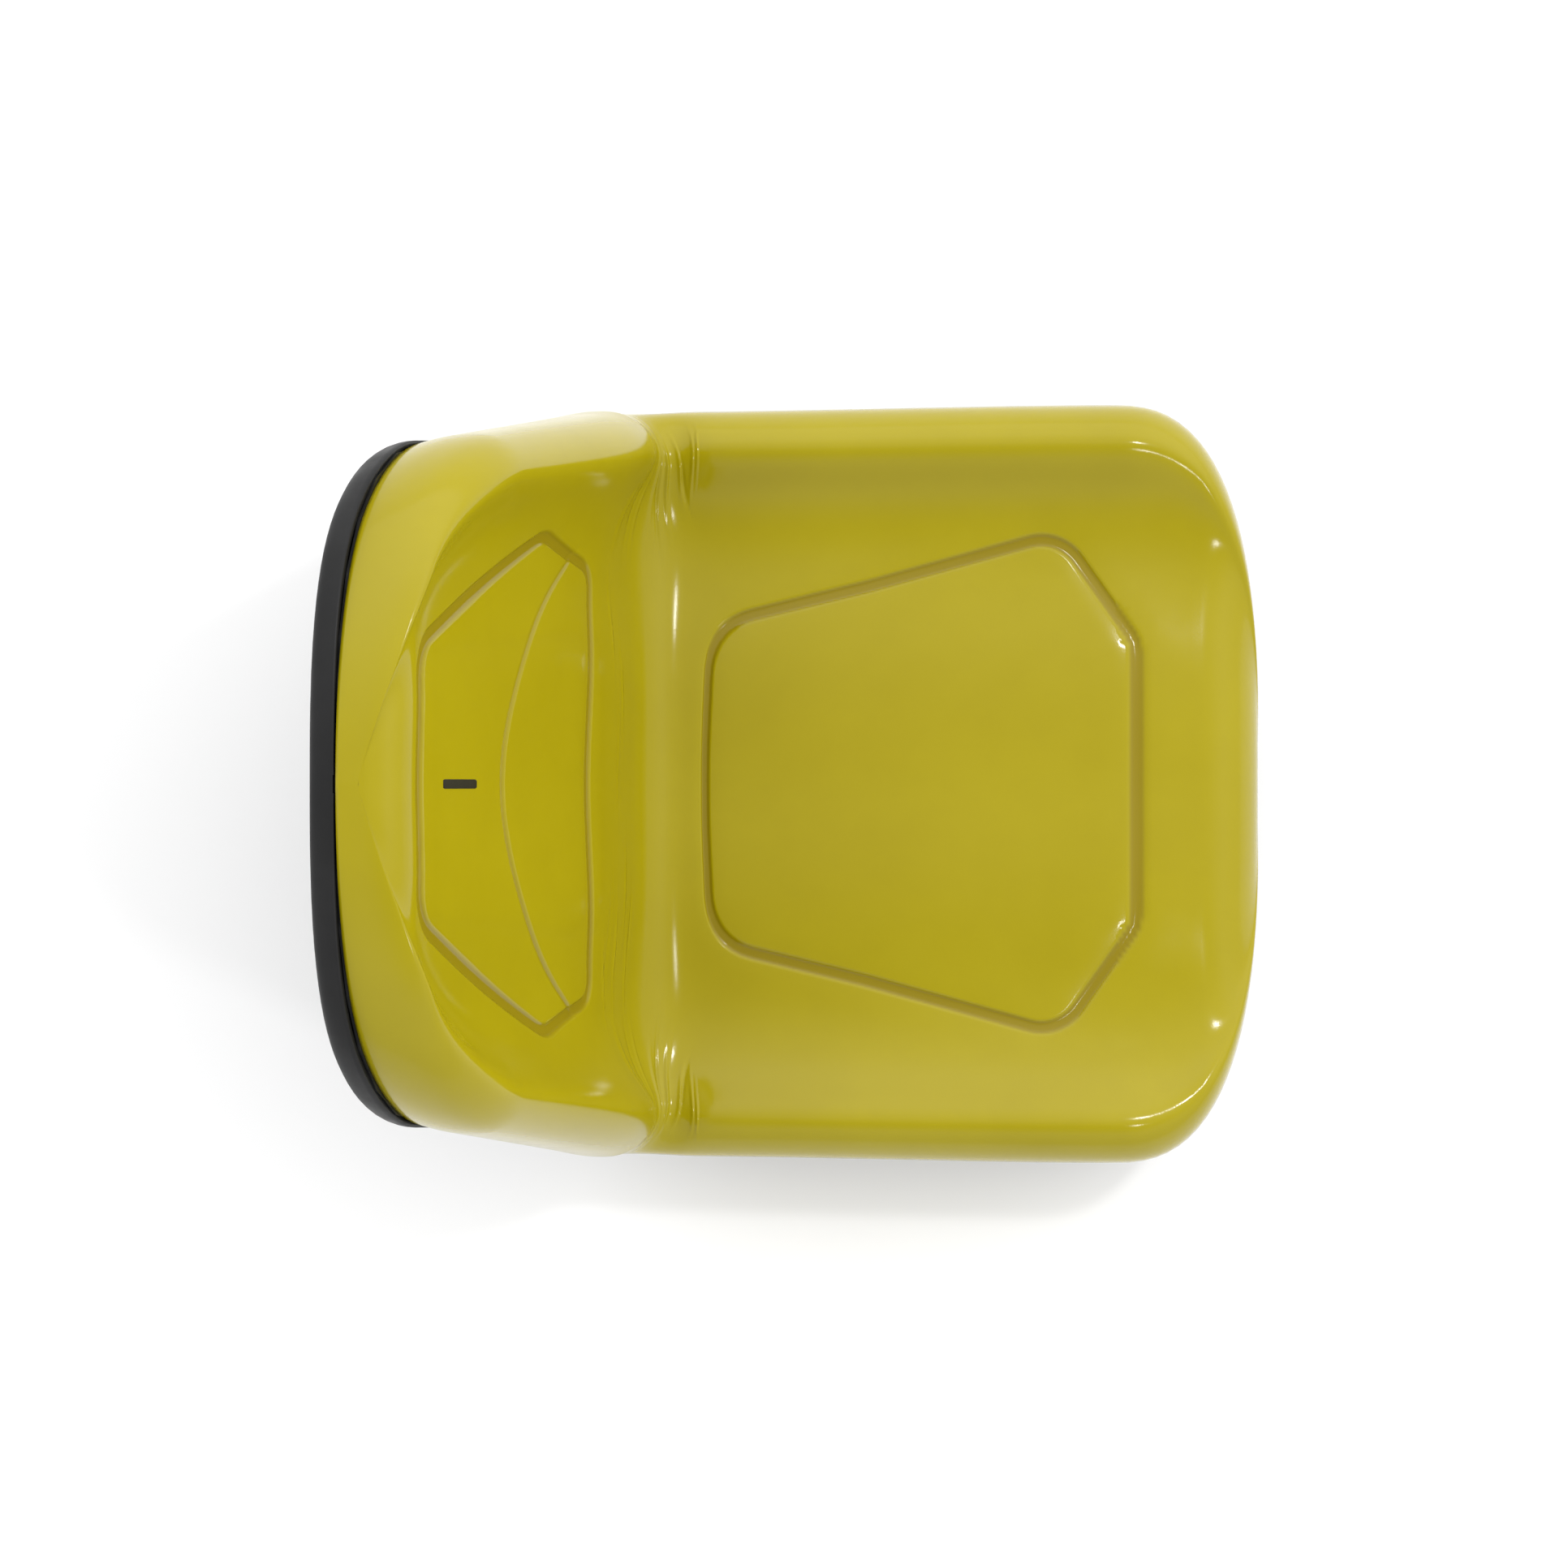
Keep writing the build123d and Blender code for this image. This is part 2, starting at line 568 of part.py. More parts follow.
def make_grip():
    tube = Pos(BAR_FRONT, 0, BAR_Z) * Rot(90, 0, 0) * Cylinder(GRIP_R, 2 * GRIP_HALF)
    tube = fillet(tube.edges().filter_by(GeomType.CIRCLE), 1.5)
    return tube - Pos(BAR_FRONT, 0, BAR_Z) * Rot(90, 0, 0) * Cylinder(BAR_R + RUNNING, 3 * GRIP_HALF)


def make_pivot():
    ear = ARM_U + ARM_T / 2 + 0.5 + STEEL
    pin = rod(LATCH_X, (ARM_U - ARM_T / 2 - 0.5 - STEEL, ear + 10), LATCH_Z, PIVOT_R)
    return pin + rod(LATCH_X, (ear + 10, ear + 12), LATCH_Z, PIVOT_R + 3.5)


def make_latch_spring():
    """Coil round the pivot, with a leg forward over the bar."""
    u = ARM_U + ARM_T / 2 + 0.5 + STEEL + 1.5
    start = RAIL_Y + u
    coil_plane = Plane(origin=(LATCH_X, start, LATCH_Z), x_dir=(0, 0, 1), z_dir=(0, 1, 0))
    coil = coil_plane * Helix(pitch=2.0, height=6.0, radius=COIL_R)
    wire = sweep(Plane(origin=coil @ 0, z_dir=coil % 0) * Circle(WIRE_R), path=coil)
    end = coil @ 1
    over = BAR_Z + BAR_R + WIRE_R
    leg = Line((end.X, end.Y + 0.1, end.Z), (ARM_FRONT - 45, end.Y + 0.1, over))
    leg = Plane(origin=leg @ 0, z_dir=leg % 0) * Pos(0, 0, leg.length / 2) * Cylinder(WIRE_R, leg.length)
    return [wire, leg]


# ---------------------------------------------------------------- switch
def round_at(low, high, radius):
    return Pos(SWITCH_X, 0, (low + high) / 2) * Cylinder(radius, high - low)


def make_switch():
    bore = PART_Z + PLUNGER_STANDS - PLUNGER_T - PLUNGER_TRAVEL - 7
    body = round_at(SWITCH_LOW, PAN_UNDER, SWITCH_R) + round_at(PAN_UNDER - 2, PAN_UNDER, SWITCH_R + 1.7)
    body -= round_at(bore, PAN_UNDER + 1, PLUNGER_R + RUNNING)
    socket = Pos(SWITCH_X, 0, SWITCH_LOW - 4) * Box(18, 12, 8)
    socket = fillet(socket.edges().filter_by(Axis.Z), 2)
    socket -= Pos(SWITCH_X, 0, SWITCH_LOW - 5) * Box(14, 8, 8)
    for x in (-4, 4):
        socket += Pos(SWITCH_X + x, 0, SWITCH_LOW - 3.5) * Box(0.8, 5, 7)
    return body + socket


def make_plunger():
    top = PART_Z + PLUNGER_STANDS
    button = round_at(top - PLUNGER_T, top, PLUNGER_R)
    return fillet(button.edges().filter_by(GeomType.CIRCLE).group_by(Axis.Z)[-1], 1.5)


def make_switch_spring():
    low = PART_Z + PLUNGER_STANDS - PLUNGER_T - PLUNGER_TRAVEL - 7 + SPRING_WIRE + 0.1
    high = PART_Z + PLUNGER_STANDS - PLUNGER_T - SPRING_WIRE - 0.1
    coil = Pos(SWITCH_X, 0, low) * Helix(pitch=(high - low) / 4, height=high - low, radius=SPRING_R)
    return sweep(Plane(origin=coil @ 0, z_dir=coil % 0) * Circle(SPRING_WIRE), path=coil)


# ---------------------------------------------------------------- files
def main():
    os.makedirs("parts", exist_ok=True)
    cushion, backrest = make_foam()
    straps, pins = make_carrier()
    springs = make_latch_spring()
    lower, upper, rack, arm = make_lower_rail(), make_upper_rail(), make_rack(), make_arm()
    left_rollers = [make_roller(-ROLLER_X), make_roller(ROLLER_X)]
    nodes = {
        "seat_cover": make_cover(),
        "cushion_foam": cushion,
        "backrest_foam": backrest,
        "cover_tag": tag_block(TAG_LENGTH, TAG_WIDTH),
        "seat_pan": make_pan(),
        "back_shell": make_shell(),
        "shell_screws": make_screws(),
        "pan_nuts": make_nuts(),
        "rail_bolts": make_bolts(),
        "boss_sleeves": make_sleeves(),
        "upper_rail_left": upper,
        "upper_rail_right": right_of(upper),
        "lower_rail_left": lower,
        "lower_rail_right": right_of(lower),
        "latch_rack_left": rack,
        "latch_rack_right": right_of(rack),
        "ball_cages": Compound(children=make_cage() + [right_of(p) for p in make_cage()]),
        "slide_balls": Compound(children=make_balls() + [right_of(p) for p in make_balls()]),
        "roller_straps": Compound(children=straps + [right_of(p) for p in straps]),
        "roller_pins": Compound(children=pins + [right_of(p) for p in pins]),
        "roller_rear_left": left_rollers[0],
        "roller_front_left": left_rollers[1],
        "roller_rear_right": right_of(left_rollers[0]),
        "roller_front_right": right_of(left_rollers[1]),
        "latch_arm_left": arm,
        "latch_arm_right": right_of(arm),
        "latch_bar": make_bar(),
        "latch_grip": make_grip(),
        "latch_pivots": Compound(children=[make_pivot(), right_of(make_pivot())]),
        "latch_springs": Compound(children=springs + [right_of(p) for p in springs]),
        "switch_body": make_switch(),
        "switch_plunger": make_plunger(),
        "switch_spring": make_switch_spring(),
    }
    for name, shape in nodes.items():
        export_step(shape, f"parts/{name}.step")


main()
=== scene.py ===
"""Looks of the tractor bucket seat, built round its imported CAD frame.

The upholstery and the shell are smooth surfaces given as (s, y, n), as in the CAD: s along the
parting line from its front end, y across, n square to it, towards the sitter. Lengths here are in
millimetres until they become vertices.
"""
import json
import math

import bmesh
import bpy
import numpy as np
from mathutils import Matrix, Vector


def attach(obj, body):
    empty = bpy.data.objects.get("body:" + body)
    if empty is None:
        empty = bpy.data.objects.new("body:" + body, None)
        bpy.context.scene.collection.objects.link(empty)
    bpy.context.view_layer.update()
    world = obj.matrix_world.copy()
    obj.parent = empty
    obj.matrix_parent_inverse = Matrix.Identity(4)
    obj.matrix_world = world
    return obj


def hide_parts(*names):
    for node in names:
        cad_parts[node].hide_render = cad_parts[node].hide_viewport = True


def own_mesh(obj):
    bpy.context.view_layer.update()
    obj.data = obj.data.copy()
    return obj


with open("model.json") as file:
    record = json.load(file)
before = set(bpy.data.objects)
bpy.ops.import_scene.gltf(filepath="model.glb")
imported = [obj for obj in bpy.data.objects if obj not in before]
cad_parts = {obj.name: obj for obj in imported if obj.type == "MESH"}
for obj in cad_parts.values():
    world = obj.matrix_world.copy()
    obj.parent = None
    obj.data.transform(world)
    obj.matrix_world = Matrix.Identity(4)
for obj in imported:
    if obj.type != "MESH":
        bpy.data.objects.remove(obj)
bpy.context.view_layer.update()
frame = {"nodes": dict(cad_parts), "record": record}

MM = 0.001

# ---------------------------------------------------------------- the seat's sizes, as in the CAD
FRONT_X = 259.0          # front end of the parting line
SEAT_BACK = 203.0        # from the origin back to where the level and the leaning run would meet
BACK_RISE = 428.0        # from there up to the top
PART_Z = 59.5            # height of the level run
LEAN = math.radians(14.5)
BEND_R = 110.0
BEND_ANGLE = math.pi / 2 - LEAN
BEND_RUN = BEND_R * math.tan(BEND_ANGLE / 2)
LEVEL = FRONT_X + SEAT_BACK - BEND_RUN
ARC = BEND_R * BEND_ANGLE
BACK = BACK_RISE / math.cos(LEAN) - BEND_RUN
TOTAL = LEVEL + ARC + BACK
BEND_X = FRONT_X - LEVEL
FRONT_CORNER = 100.0
TOP_CORNER = 120.0
NOSE_LENGTH = 46.0
CREST_LENGTH = 30.0
SHELL_DEPTH = 18.0
SHELL_WALL = 3.5
SHELL_RIM = -1.6
SHELL_INSET = 6.0
RAIL_Y = 143.0
RAIL_TOP = 29.5
BOLT_X = 110.0
SWITCH_X = 20.0


def smooth(s, start, end):
    t = np.clip((s - start) / (end - start), 0.0, 1.0)
    return t * t * (3 - 2 * t)


def mix(a, b, t):
    return a + (b - a) * t


def along_arc(s):
    turn = np.clip((s - LEVEL) / BEND_R, 0.0, BEND_ANGLE)
    nx, nz = np.sin(turn), np.cos(turn)
    x = BEND_X - nx * BEND_R - np.minimum(s - LEVEL, 0.0)
    z = PART_Z + BEND_R - nz * BEND_R
    up = np.maximum(s - LEVEL - ARC, 0.0)
    return np.stack([x - math.sin(LEAN) * up, z + math.cos(LEAN) * up, nx, nz])


def along(s):
    """Points on the parting line and the unit vectors towards the sitter, as x, z, nx, nz.

    The line is averaged over a short run, so the bend begins and ends gently.
    """
    s = np.asarray(s, float)
    total = sum((7 - abs(k)) * along_arc(s + 6.0 * k) for k in range(-6, 7)) / 49
    x, z, nx, nz = total
    length = np.hypot(nx, nz)
    return x, z, nx / length, nz / length


def place(s, y, n):
    """(s, y, n) in the row frame, in millimetres."""
    x, z, nx, nz = along(s)
    return np.stack([x + nx * n, np.broadcast_to(y, x.shape), z + nz * n], -1)


def closing(distance, length, inner, outer):
    """How far an outline is open at a distance from its end: a rounded corner of that length."""
    share = np.clip(1 - distance / length, 0.0, 1.0)
    return (1 - share ** inner) ** (1 / outer)


def rolling(distance, length):
    share = np.clip(1 - distance / length, 0.0, 1.0)
    return np.sqrt(1 - share ** 2)


def side_line(s):
    """Half the seat's width before its ends close."""
    wide = 254.5 - 4.0 * smooth(s, FRONT_CORNER, LEVEL) - 4.5 * smooth(s, LEVEL, LEVEL + ARC)
    wide = wide - 59.0 * np.clip((s - LEVEL - ARC) / BACK, 0.0, 1.0)
    return wide * (1 - 0.07 * smooth(s, TOTAL - 130, TOTAL - 40))


def half_width(s, inset=0.0):
    """Of the upholstery, which is rounder at the corners than the shell under it."""
    front = closing(s - inset, FRONT_CORNER, 2.6, 2.7)
    return (side_line(s) - inset) * front * closing(TOTAL - s - inset, TOP_CORNER, 3.2, 2.15)


def panel_height(s):
    high = 74.0 - 14.0 * smooth(s, LEVEL * 0.75, LEVEL + ARC)
    return high - 22.0 * smooth(s, LEVEL + ARC, TOTAL - CREST_LENGTH)


def bolster_height(s):
    side = 24.0 + 2.0 * smooth(s, LEVEL, LEVEL + ARC)
    side = side - 13.0 * np.exp(-((s - LEVEL - 0.6 * ARC) / 62.0) ** 2)
    return 7.0 + (side - 7.0) * np.minimum(smooth(s, 0, FRONT_CORNER), smooth(TOTAL - s, 0, TOP_CORNER))


# ---------------------------------------------------------------- cross-sections
def spline_weights(knots, t):
    """Natural cubic spline through values at the knots: the matrix from those values to values at t."""
    count = len(knots)
    h = np.diff(knots)
    a = np.zeros((count, count))
    b = np.zeros((count, count))
    a[0, 0] = a[-1, -1] = 1
    for i in range(1, count - 1):
        a[i, i - 1:i + 2] = h[i - 1], 2 * (h[i - 1] + h[i]), h[i]
        b[i, i - 1:i + 2] = 6 / h[i - 1], -6 / h[i - 1] - 6 / h[i], 6 / h[i]
    second = np.linalg.solve(a, b)
    eye = np.eye(count)
    cell = np.clip(np.searchsorted(knots, t) - 1, 0, count - 2)
    left, right, wide = knots[cell + 1] - t, t - knots[cell], h[cell]
    out = eye[cell] * (left / wide)[:, None] + eye[cell + 1] * (right / wide)[:, None]
    out += second[cell] * ((left ** 3 / wide - left * wide) / 6)[:, None]
    out += second[cell + 1] * ((right ** 3 / wide - right * wide) / 6)[:, None]
    return out


# half a section of the upholstery: share of the half width, share of the panel's height, share of
# the crest's height
COVER_HALF = np.array([(0, 1, 0), (.38, 1, 0), (.68, 1, 0), (.79, .5, .5), (.885, 0, 1),
                       (.97, 0, .83), (1, 0, .5), (.99, 0, .19), (.975, 0, 0)])
COVER_FULL = np.vstack([COVER_HALF[:0:-1] * (-1, 1, 1), COVER_HALF])
TYPICAL = COVER_FULL @ np.array([(250, 0), (0, 74), (0, 98)])
COVER_KNOTS = np.concatenate([[0], np.cumsum(np.linalg.norm(np.diff(TYPICAL, axis=0), axis=1))])
COVER_KNOTS = COVER_KNOTS / COVER_KNOTS[-1] * 2 - 1
FINE = np.linspace(-1, 1, 2401)
COVER_FINE = spline_weights(COVER_KNOTS, FINE) @ COVER_FULL


def cover_point(s, t, inset=0.0):
    """Upholstery surface before its grooves; t runs across it from -1 to 1."""
    share = [np.interp(t, FINE, COVER_FINE[:, i]) for i in range(3)]
    wide = half_width(s, inset)
    panel = panel_height(s) - inset
    crest = panel + bolster_height(s)
    roll = rolling(s - inset, NOSE_LENGTH) * rolling(TOTAL - s - inset, CREST_LENGTH)
    middle = 0.35 * panel
    n = share[1] * panel + share[2] * crest
    y = share[0] * wide
    crown = 3.0 * np.clip(1 - (y / (0.80 * np.maximum(wide, 1))) ** 2, 0, 1) ** 2 * smooth(s, 20, 120)
    n = n + crown * smooth(TOTAL - s, 20, 120)
    return y, middle + (n - middle) * np.where(n > middle, roll, 1.0)


# ---------------------------------------------------------------- grooves and folds of the cover
def rounded_path(corners, radii, steps=9):
    """Points of a closed polygon whose corners are rounded, as an array of (s, y)."""
    out = []
    count = len(corners)
    pts = np.array(corners, float)
    for i in range(count):
        here, radius = pts[i], radii[i]
        a, b = pts[i - 1] - here, pts[(i + 1) % count] - here
        a, b = a / np.linalg.norm(a), b / np.linalg.norm(b)
        if np.linalg.norm(a + b) < 1e-6:
            continue
        half = math.acos(np.clip(a @ b, -1, 1)) / 2
        back = radius / math.tan(half)
        centre = here + (a + b) / np.linalg.norm(a + b) * radius / math.sin(half)
        start, end = here + a * back - centre, here + b * back - centre
        sweep = math.atan2(start[0] * end[1] - start[1] * end[0], start @ end)
        for k in range(steps + 1):
            turn = sweep * k / steps
            c, d = math.cos(turn), math.sin(turn)
            out.append(centre + (start[0] * c - start[1] * d, start[0] * d + start[1] * c))
    out.append(out[0])
    return np.array(out)


def distance_to(path, s, y):
    """Distance from points to a polyline, all as (s, y)."""
    shape = np.shape(s)
    points = np.stack([np.ravel(s), np.ravel(y)], -1)
    best = np.full(len(points), 1e9)
    for a, b in zip(path[:-1], path[1:]):
        ab = b - a
        length = ab @ ab
        if length < 1e-9:
            continue
        t = np.clip((points - a) @ ab / length, 0, 1)
        best = np.minimum(best, np.linalg.norm(points - a - t[:, None] * ab, axis=1))
    return best.reshape(shape)


def loop_path(near, half, far):
    """A closed outline from its left corners as (s, y, radius) and its two middle points."""
    corners = [near] + half + [far] + [(s, -y, r) for s, y, r in half[::-1]]
    return rounded_path([c[:2] for c in corners], [c[2] for c in corners])


CUSHION_PATH = loop_path((87, 0, 900), [(87, 94, 27), (138, 167, 30), (268, 131, 300), (375, 105, 44)],
                         (382, 0, 700))
BACK_PATH = loop_path((610, 0, 400), [(586, 137, 15), (664, 154, 34), (843, 78, 32)], (848, 0, 700))
CREASE_S = 733.8
CREASE_CURVE = 0.0057
GROOVE_HALF = 4.3
GROOVE_DEPTH = 2.2


def channel(distance):
    """A pressed channel: flat floor, steep sides, softly rounded shoulders."""
    floor = -GROOVE_DEPTH * (1 - smooth(distance, GROOVE_HALF * 0.62, GROOVE_HALF * 1.2))
    shoulder = -0.35 * GROOVE_DEPTH * np.exp(-(distance / (GROOVE_HALF * 2.2)) ** 2)
    return 0.78 * floor + shoulder


def fold(s, y, s0, y0, turn, long, wide, high):
    """One soft ridge of the skin, given by its middle, its direction in degrees and its half sizes."""
    c, d = math.cos(math.radians(turn)), math.sin(math.radians(turn))
    along_it = (s - s0) * c + (y - y0) * d
    across = -(s - s0) * d + (y - y0) * c
    return high * np.exp(-(along_it / long) ** 2 - (across / wide) ** 2)


def puckers(s, y):
    """Small folds where the side rolls of the cushion and backrest meet, and along the bend."""
    side = np.abs(y)
    out = np.zeros(np.shape(s))
    for s0, y0, turn, long, wide, high in (
            (452, 205, 62, 26, 3.2, 1.5), (464, 196, 70, 30, 2.8, -1.2), (476, 209, 78, 28, 3.4, 1.3),
            (431, 212, 55, 20, 3.0, 1.2), (419, 203, 48, 22, 3.0, -0.9), (404, 214, 84, 18, 3.2, 1.0),
            (395, 220, 88, 16, 2.6, 0.9), (505, 190, 96, 26, 3.6, 1.1), (518, 186, 100, 24, 3.0, -0.9),
            (540, 178, 104, 20, 3.4, 0.8)):
        out = out + fold(s, side, s0, y0, turn, long, wide, high)
    for s0, y0, turn, long, wide, high in (
            (556, 104, 92, 26, 1.7, 0.7), (548, -112, 86, 30, 1.8, 0.8), (562, -96, 90, 34, 1.5, -0.6),
            (541, 60, 88, 30, 1.8, 0.5), (534, -70, 90, 26, 1.6, 0.5), (566, -128, 80, 22, 1.6, 0.8),
            (524, -118, 84, 26, 2.0, 0.7), (519, -96, 92, 22, 1.8, -0.6), (549, 20, 92, 36, 1.8, 0.35)):
        out = out + fold(s, y, s0, y0, turn, long, wide, high)
    return out


def past_crease(s, y):
    """How far up the backrest from the lumbar pad's arched edge, measured along s."""
    return s - CREASE_S + CREASE_CURVE * y * y


def beyond_crease(s, y):
    """The same, measured square to the edge."""
    return past_crease(s, y) / np.sqrt(1 + (2 * CREASE_CURVE * y) ** 2)


def lumbar_step(s, y):
    """The pad in the small of the back ends upwards in a small arched step."""
    beyond = beyond_crease(s, y)
    inside = smooth(152 - np.abs(y), 0, 16)
    step = 1.3 * (1 - smooth(beyond, -1.2, 1.0)) * smooth(beyond, -60, -4)
    line = -0.6 * np.exp(-((beyond - 0.9) / 0.9) ** 2)
    return inside * (step + line)


def relief_at(s, y):
    """How far the cover stands out of its plain surface."""
    grooves = channel(distance_to(BACK_PATH, s, y)) + channel(distance_to(CUSHION_PATH, s, y))
    return grooves + lumbar_step(s, y) + puckers(s, y)


def groove_painted_shade(s, y):
    """Painted shade: 1 on the channels' floors, and a fainter dark line along the lumbar pad's crease."""
    near = np.minimum(distance_to(BACK_PATH, s, y), distance_to(CUSHION_PATH, s, y))
    beyond = beyond_crease(s, y)
    # painted shade: a dark line along the lumbar pad's crease, where its small step would be in shade
    crease_shade = 0.75 * np.exp(-((beyond - 0.7) / 0.9) ** 2) * smooth(150 - np.abs(y), 0, 8)
    return np.maximum(1 - smooth(near, GROOVE_HALF * 0.72, GROOVE_HALF * 1.1), crease_shade)


# ---------------------------------------------------------------- meshes of the soft skin
def rows_along(inset=0.0, plain_rows=150):
    """Values of s from end to end, closing up towards the ends where the outline turns fast."""
    closing_up = np.linspace(0.025, 1, 30) ** 3
    front = inset + FRONT_CORNER * closing_up
    top = TOTAL - inset - TOP_CORNER * closing_up[::-1]
    return np.concatenate([front, np.linspace(front[-1], top[0], plain_rows)[1:-1], top])


def cap(grid, row):
    """Closes the narrow end left at either end of the seat, from its row of vertices."""
    for j in range(len(row) // 2):
        corners = []
        for v in (row[j], row[j + 1], row[-2 - j], row[-1 - j]):
            if v not in corners:
                corners.append(v)
        if len(corners) > 2:
            grid.faces.new(corners)


def from_bmesh(name, grid):
    mesh = bpy.data.meshes.new(name)
    grid.to_mesh(mesh)
    grid.free()
    mesh.shade_smooth()
    obj = bpy.data.objects.new(name, mesh)
    bpy.context.collection.objects.link(obj)
    return obj


def make_cover():
    """Vinyl skin with its channels, finest beside them, and the edge turned in at the shell."""
    s_rows = rows_along()
    t_cols = np.linspace(-1, 1, 151)
    grid = bmesh.new()
    # the "channel" layer holds painted shade: 1 darkens the vinyl on the channel floors and along the lumbar
    # crease
    shade_layer = grid.verts.layers.float.new("channel")
    verts = [[grid.verts.new((s, t, 0)) for t in t_cols] for s in s_rows]
    for i in range(len(s_rows) - 1):
        for j in range(len(t_cols) - 1):
            grid.faces.new((verts[i][j], verts[i + 1][j], verts[i + 1][j + 1], verts[i][j + 1]))
    for reach in (13.0, 7.5):
        faces = list(grid.faces)
        centres = np.array([f.calc_center_median()[:2] for f in faces])
        at = centres[:, 0]
        y, _ = cover_point(at, centres[:, 1])
        near = np.minimum(distance_to(BACK_PATH, at, y), distance_to(CUSHION_PATH, at, y))
        beyond = np.abs(past_crease(at, y))
        near = np.where(np.abs(y) < 150, np.minimum(near, beyond), near)
        in_bend = (at > 388) & (at < 575) & (np.abs(y) < 232)
        near = np.where(in_bend & (reach > 10), 0.0, near)
        cut = {e for f, d in zip(faces, near) if d < reach for e in f.edges}
        bmesh.ops.subdivide_edges(grid, edges=list(cut), cuts=1, use_grid_fill=True)
    edges = [sorted((v for v in grid.verts if abs(v.co.y - side) < 1e-6), key=lambda v: v.co.x)
             for side in (-1, 1)]
    ends = [sorted((v for v in grid.verts if abs(v.co.x - s_rows[k]) < 1e-3), key=lambda v: v.co.y)
            for k in (0, -1)]
    flat = np.array([v.co[:2] for v in grid.verts])
    s, t = flat[:, 0], flat[:, 1]
    y, n = cover_point(s, t)
    points = place(s, y, n + relief_at(s, y)) * MM
    # each vertex gets its painted shade for the channel floors and the lumbar crease
    for v, p, shade_amount in zip(grid.verts, points, groove_painted_shade(s, y)):
        v.co = p
        v[shade_layer] = shade_amount
    for edge, side in zip(edges, (-1, 1)):
        turned_in(grid, edge, side)
    for row in ends:
        cap(grid, row)
    bmesh.ops.remove_doubles(grid, verts=grid.verts, dist=1e-6)
    bmesh.ops.recalc_face_normals(grid, faces=grid.faces)
    obj = from_bmesh("seat_cover_skin", grid)
    near = np.minimum(distance_to(BACK_PATH, s, y), distance_to(CUSHION_PATH, s, y))
    near = np.minimum(near, np.where(np.abs(y) < 160, np.abs(past_crease(s, y)), 99.0))
    plain = near > 8
    smooth_shading(obj.data, points[plain], surface_normals(s[plain], t[plain]))
    return obj


def surface_normals(s, t):
    """Unit normals of the cover's surface, from short steps along it and across it."""
    def skin(s, t):
        y, n = cover_point(s, t)
        return place(s, y, n + relief_at(s, y))

    t = np.clip(t, -0.9995, 0.9995)
    along_it = skin(s + 0.25, t) - skin(s - 0.25, t)
    across = skin(s, t + 0.0005) - skin(s, t - 0.0005)
    normal = np.cross(along_it, across)
    return normal / np.maximum(np.linalg.norm(normal, axis=1), 1e-9)[:, None]


def smooth_shading(mesh, points, normals):
    """Shades the skin with its surface's own normals, away from its ends and edges."""
    known = {tuple(np.round(p, 6)): n for p, n in zip(points, normals)}
    out = []
    for v in mesh.vertices:
        own = np.array(v.normal)
        exact = known.get(tuple(np.round(np.array(v.co), 6)), own)
        exact = exact if exact @ own > 0 else -exact
        out.append(exact if exact @ own > 0.94 else own)
    mesh.normals_split_custom_set_from_vertices(out)


def turned_in(grid, edge, side):
    """Carries the skin's open edge in under the foam, so it ends out of sight as cloth does."""
    for inset, height in ((2.0, 0.3), (14.0, 0.8)):
        s = rows_along(inset)
        under = place(s, side * 0.975 * half_width(s, inset), np.full(len(s), height)) * MM
        new = [grid.verts.new(p) for p in under]
        for i in range(len(s) - 1):
            grid.faces.new((edge[i], edge[i + 1], new[i + 1], new[i]))
        edge = new


def make_foam():
    """Foam under the skin: the same surface a little smaller, closed underneath."""
    gap = 2.4
    s_rows, t_cols = rows_along(gap, 90), np.linspace(-1, 1, 81)
    s, t = np.meshgrid(s_rows, t_cols, indexing="ij")
    y, n = cover_point(s, t, gap)
    y, n = np.clip(y, -half_width(s, gap) * 0.97, half_width(s, gap) * 0.97), np.maximum(n, gap) - gap / 2
    grid = bmesh.new()
    verts = [[grid.verts.new(p) for p in row] for row in place(s, y, n) * MM]
    for i in range(len(s_rows) - 1):
        for j in range(len(t_cols) - 1):
            grid.faces.new((verts[i][j], verts[i + 1][j], verts[i + 1][j + 1], verts[i][j + 1]))
        grid.faces.new((verts[i][0], verts[i][-1], verts[i + 1][-1], verts[i + 1][0]))
    cap(grid, verts[0])
    cap(grid, verts[-1])
    bmesh.ops.remove_doubles(grid, verts=grid.verts, dist=1e-6)
    bmesh.ops.recalc_face_normals(grid, faces=grid.faces)
    return from_bmesh("seat_foam", grid)


# ---------------------------------------------------------------- shell
SHELL_ROUND = 26.0
PANEL_MIDDLE = LEVEL + ARC + 170.0       # of the moulded panel on the back
SHELL_COLS = np.sign(np.linspace(-1, 1, 171)) * (1 - (1 - np.abs(np.linspace(-1, 1, 171))) ** 1.7)


def box_distance(s, y, s_mid, s_half, y_half, corner):
    """Signed distance in (s, y) to a rectangle with rounded corners."""
    ds = np.abs(s - s_mid) - s_half + corner
    dy = np.abs(y) - y_half + corner
    outside = np.hypot(np.maximum(ds, 0), np.maximum(dy, 0))
    return outside + np.minimum(np.maximum(ds, dy), 0) - corner


def shell_relief(s, y):
    """Moulded panel and ribs on the backrest's back."""
    panel = box_distance(s, y, PANEL_MIDDLE, 112, 118, 34)
    hollow = 3.2 * (1 - smooth(panel, -7, 0))
    ribs = np.zeros(np.shape(s))
    for rib in (-72, -36, 0, 36, 72):
        away = box_distance(s, y - rib, PANEL_MIDDLE, 88, 4.5, 4.4)
        ribs = np.maximum(ribs, 2.6 * (1 - smooth(away, -1.5, 1.8)))
    return hollow - ribs


def shell_inset(s):
    return SHELL_INSET * smooth(TOTAL - s, 0.5 * TOP_CORNER, 1.6 * TOP_CORNER)


